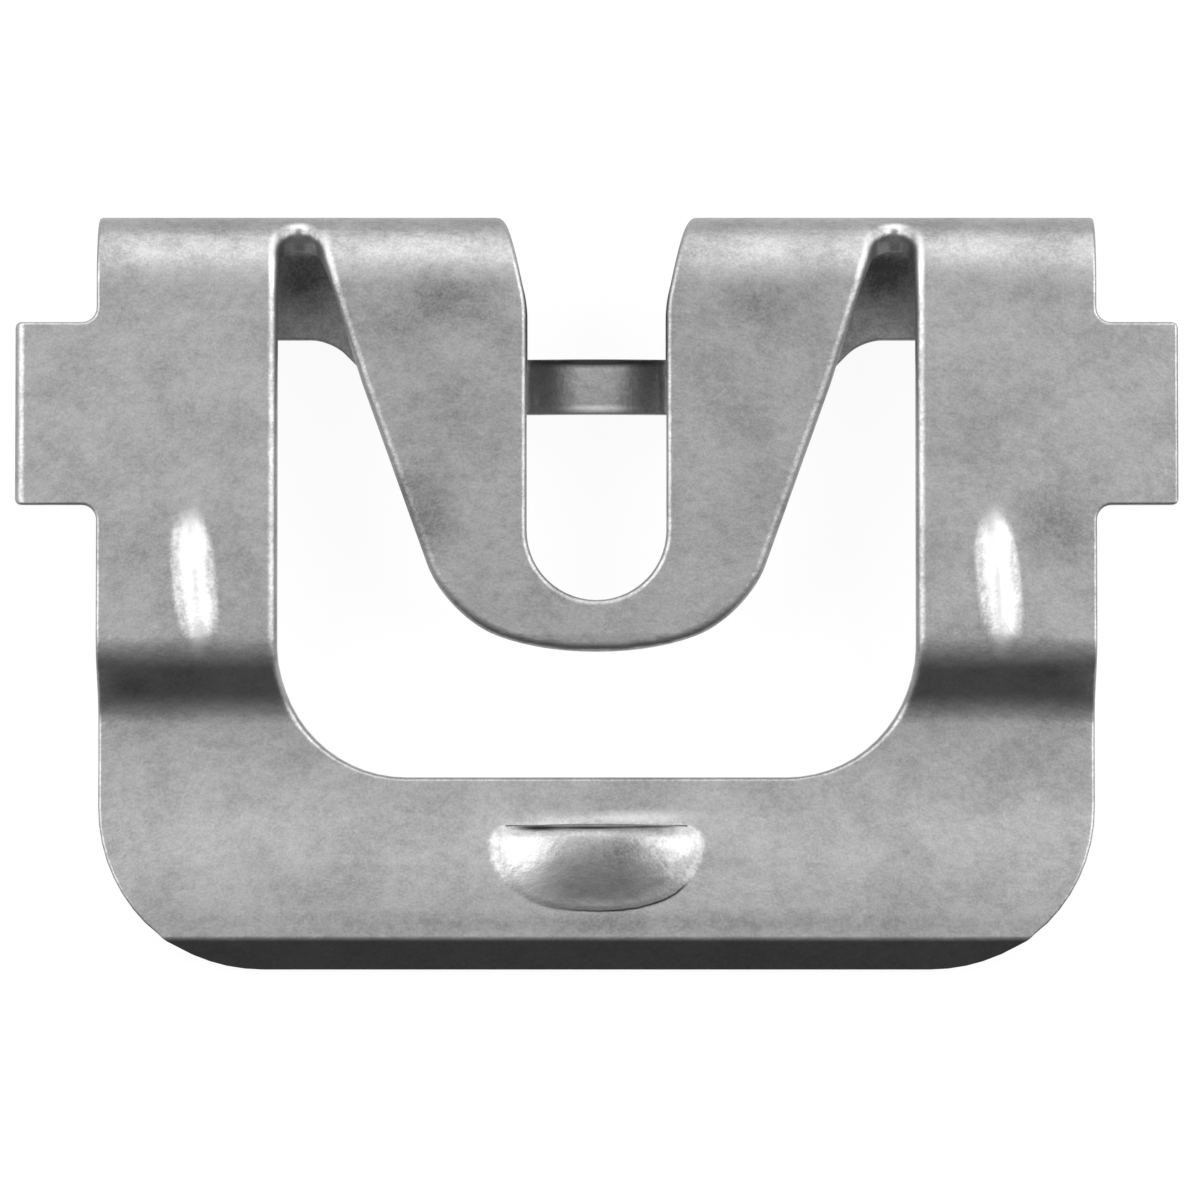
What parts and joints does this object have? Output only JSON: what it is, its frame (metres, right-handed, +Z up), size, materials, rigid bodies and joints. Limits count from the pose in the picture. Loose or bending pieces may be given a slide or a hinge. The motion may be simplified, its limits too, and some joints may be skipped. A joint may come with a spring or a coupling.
{
  "type": "molding clip",
  "caption": "Folded spring steel clip: a slotted tongue slides on to a body stud, and a dished cross bar with a lip and a lanced scoop holds the flange of a trim molding.",
  "frame": {"origin": "middle of the footprint, on the surface that the clip lies on", "axes": "+X across the clip from ear to ear, +Y up its legs towards the fold, +Z up, out of the side that shows the tongue's face"},
  "size_m": [0.0318, 0.0206, 0.0042],
  "materials": {
    "spring_steel": "dull grey plating, mottled"
  },
  "bodies": {
    "root": {"clip": "spring_steel"}
  },
  "joints": []
}
